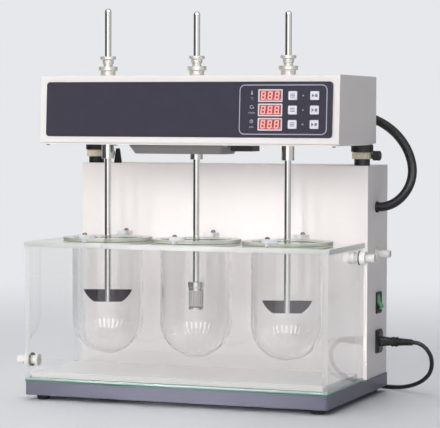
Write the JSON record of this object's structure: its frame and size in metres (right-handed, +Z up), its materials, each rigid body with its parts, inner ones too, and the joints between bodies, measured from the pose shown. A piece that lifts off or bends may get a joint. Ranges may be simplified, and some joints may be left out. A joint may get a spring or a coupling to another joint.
{
  "type": "dissolution tester",
  "caption": "Tablet dissolution tester: clear water bath with round-bottomed glass vessels under a lifting head that turns paddles and a basket on vertical shafts.",
  "frame": {"origin": "on the floor, under the middle of the base and of the two bath spigots", "axes": "+Z up, front of the instrument towards -Y, control keys towards +X"},
  "size_m": [0.5864, 0.4505, 0.592],
  "materials": {
    "white_paint": "satin powder coat",
    "grey_paint": "satin powder coat",
    "black_rubber": "matte",
    "float_glass": "polished edges",
    "clear_acrylic": "clear, polished edges",
    "vessel_glass": "clear borosilicate",
    "chrome": "polished",
    "stainless": "turned and brushed",
    "black_plastic": "matte moulded",
    "cream_plastic": "matte",
    "white_nylon": "turned nylon",
    "green_lens": "clear lens over a lamp",
    "cable_sheath": "matte sheath",
    "panel_dark": "satin printed film",
    "display_red": "tinted filter",
    "key_plastic": "satin",
    "drive_grey": "satin",
    "motor_black": "matte"
  },
  "bodies": {
    "stand": {"base_tray": "grey_paint", "feet": "black_rubber", "glass_plate": "float_glass", "bath_tank": "clear_acrylic", "vessel_plate": "clear_acrylic", "vessel_left": "vessel_glass", "vessel_middle": "vessel_glass", "vessel_right": "vessel_glass", "clamp_screws": "chrome", "column_shell": "white_paint", "column_back_cover": "white_paint", "guide_bushes": "black_plastic", "lock_collars": "cream_plastic", "limit_buffer": "black_rubber", "hose_spigots": "white_nylon", "spigot_gaskets": "black_rubber", "water_heater": "stainless", "power_entry": "black_plastic", "lead_plugs": "black_plastic", "mains_cord": "cable_sheath", "cord_coil": "cable_sheath", "column_gland": "black_plastic", "head_cable": "cable_sheath"},
    "head": {"head_shell": "white_paint", "head_bottom_plate": "white_paint", "front_panel": "panel_dark", "display_windows": "display_red", "lift_posts": "stainless", "drive_pan": "drive_grey", "drive_motor": "motor_black", "bearing_housings": "drive_grey", "drive_belts": "black_rubber", "head_gland": "black_plastic"},
    "rocker": {"switch_rocker": "green_lens"},
    "knob_left": {"lock_knob_left": "black_plastic"},
    "knob_right": {"lock_knob_right": "black_plastic"},
    "spindle_left": {"spindle_left": "stainless"},
    "chuck_left": {"chuck_nut_left": "chrome"},
    "stirrer_left": {"shaft_left": "stainless", "blade_left": "stainless"},
    "spindle_middle": {"spindle_middle": "stainless"},
    "chuck_middle": {"chuck_nut_middle": "chrome"},
    "stirrer_middle": {"shaft_middle": "stainless", "basket": "stainless"},
    "spindle_right": {"spindle_right": "stainless"},
    "chuck_right": {"chuck_nut_right": "chrome"},
    "stirrer_right": {"shaft_right": "stainless", "blade_right": "stainless"},
    "clamp_front_left": {"clamp_front_left": "clear_acrylic"},
    "clamp_front_middle": {"clamp_front_middle": "clear_acrylic"},
    "clamp_front_right": {"clamp_front_right": "clear_acrylic"},
    "clamp_rear_left": {"clamp_rear_left": "clear_acrylic"},
    "clamp_rear_middle": {"clamp_rear_middle": "clear_acrylic"},
    "clamp_rear_right": {"clamp_rear_right": "clear_acrylic"},
    "key_top_left": {"key_top_left": "key_plastic"},
    "key_top_right": {"key_top_right": "key_plastic"},
    "key_middle_left": {"key_middle_left": "key_plastic"},
    "key_middle_right": {"key_middle_right": "key_plastic"},
    "key_bottom_left": {"key_bottom_left": "key_plastic"},
    "key_bottom_right": {"key_bottom_right": "key_plastic"}
  },
  "joints": [
    {"name": "head_lift", "type": "slide", "parent": "stand", "child": "head", "axis": [0, 0, 1], "range_m": [0, 0.115], "deforming": ["head_cable"]},
    {"name": "spindle_left_turn", "type": "hinge", "parent": "head", "child": "spindle_left", "pos_m": [-0.145, -0.06, 0.44], "axis": [0, 0, 1], "continuous": true},
    {"name": "spindle_middle_turn", "type": "hinge", "parent": "head", "child": "spindle_middle", "pos_m": [0, -0.06, 0.44], "axis": [0, 0, 1], "continuous": true},
    {"name": "spindle_right_turn", "type": "hinge", "parent": "head", "child": "spindle_right", "pos_m": [0.145, -0.06, 0.44], "axis": [0, 0, 1], "continuous": true},
    {"name": "stirrer_left_height", "type": "slide", "parent": "spindle_left", "child": "stirrer_left", "axis": [0, 0, 1], "range_m": [-0.055, 0.05]},
    {"name": "chuck_left_tighten", "type": "hinge", "parent": "spindle_left", "child": "chuck_left", "pos_m": [-0.145, -0.06, 0.5143], "axis": [0, 0, 1], "range_deg": [0, 180]},
    {"name": "stirrer_middle_height", "type": "slide", "parent": "spindle_middle", "child": "stirrer_middle", "axis": [0, 0, 1], "range_m": [-0.05, 0.05]},
    {"name": "chuck_middle_tighten", "type": "hinge", "parent": "spindle_middle", "child": "chuck_middle", "pos_m": [0, -0.06, 0.5143], "axis": [0, 0, 1], "range_deg": [0, 180]},
    {"name": "stirrer_right_height", "type": "slide", "parent": "spindle_right", "child": "stirrer_right", "axis": [0, 0, 1], "range_m": [-0.05, 0.05]},
    {"name": "chuck_right_tighten", "type": "hinge", "parent": "spindle_right", "child": "chuck_right", "pos_m": [0.145, -0.06, 0.5143], "axis": [0, 0, 1], "range_deg": [0, 180]},
    {"name": "clamp_front_left_turn", "type": "hinge", "parent": "stand", "child": "clamp_front_left", "pos_m": [-0.15132, -0.13222, 0.2473], "axis": [0, 0, 1], "range_deg": [0, 180]},
    {"name": "clamp_front_middle_turn", "type": "hinge", "parent": "stand", "child": "clamp_front_middle", "pos_m": [-0.00632, -0.13222, 0.2473], "axis": [0, 0, 1], "range_deg": [0, 180]},
    {"name": "clamp_front_right_turn", "type": "hinge", "parent": "stand", "child": "clamp_front_right", "pos_m": [0.13868, -0.13222, 0.2473], "axis": [0, 0, 1], "range_deg": [0, 180]},
    {"name": "clamp_rear_left_turn", "type": "hinge", "parent": "stand", "child": "clamp_rear_left", "pos_m": [-0.145, 0.0125, 0.2473], "axis": [0, 0, 1], "range_deg": [0, 180]},
    {"name": "clamp_rear_middle_turn", "type": "hinge", "parent": "stand", "child": "clamp_rear_middle", "pos_m": [0, 0.0125, 0.2473], "axis": [0, 0, 1], "range_deg": [0, 180]},
    {"name": "clamp_rear_right_turn", "type": "hinge", "parent": "stand", "child": "clamp_rear_right", "pos_m": [0.145, 0.0125, 0.2473], "axis": [0, 0, 1], "range_deg": [0, 180]},
    {"name": "key_top_left_press", "type": "slide", "parent": "head", "child": "key_top_left", "axis": [0, 0.9985, -0.0548], "range_m": [0, 0.0008], "stiffness_N_per_m": 400},
    {"name": "key_top_right_press", "type": "slide", "parent": "head", "child": "key_top_right", "axis": [0, 0.9985, -0.0548], "range_m": [0, 0.0008], "stiffness_N_per_m": 400},
    {"name": "key_middle_left_press", "type": "slide", "parent": "head", "child": "key_middle_left", "axis": [0, 0.9985, -0.0548], "range_m": [0, 0.0008], "stiffness_N_per_m": 400},
    {"name": "key_middle_right_press", "type": "slide", "parent": "head", "child": "key_middle_right", "axis": [0, 0.9985, -0.0548], "range_m": [0, 0.0008], "stiffness_N_per_m": 400},
    {"name": "key_bottom_left_press", "type": "slide", "parent": "head", "child": "key_bottom_left", "axis": [0, 0.9985, -0.0548], "range_m": [0, 0.0008], "stiffness_N_per_m": 400},
    {"name": "key_bottom_right_press", "type": "slide", "parent": "head", "child": "key_bottom_right", "axis": [0, 0.9985, -0.0548], "range_m": [0, 0.0008], "stiffness_N_per_m": 400},
    {"name": "switch_rock", "type": "hinge", "parent": "stand", "child": "rocker", "pos_m": [0.2325, 0.108, 0.142], "axis": [0, 1, 0], "range_deg": [0, 32]},
    {"name": "knob_left_turn", "type": "hinge", "parent": "stand", "child": "knob_left", "pos_m": [-0.197, 0.069, 0.36925], "axis": [1, 0, 0], "range_deg": [0, 180]},
    {"name": "knob_right_turn", "type": "hinge", "parent": "stand", "child": "knob_right", "pos_m": [0.245, 0.069, 0.36925], "axis": [1, 0, 0], "range_deg": [0, 180]}
  ],
  "couplings": [
    {"joint": "spindle_left_turn", "follows": "spindle_middle_turn", "ratio": 1},
    {"joint": "spindle_right_turn", "follows": "spindle_middle_turn", "ratio": 1}
  ]
}
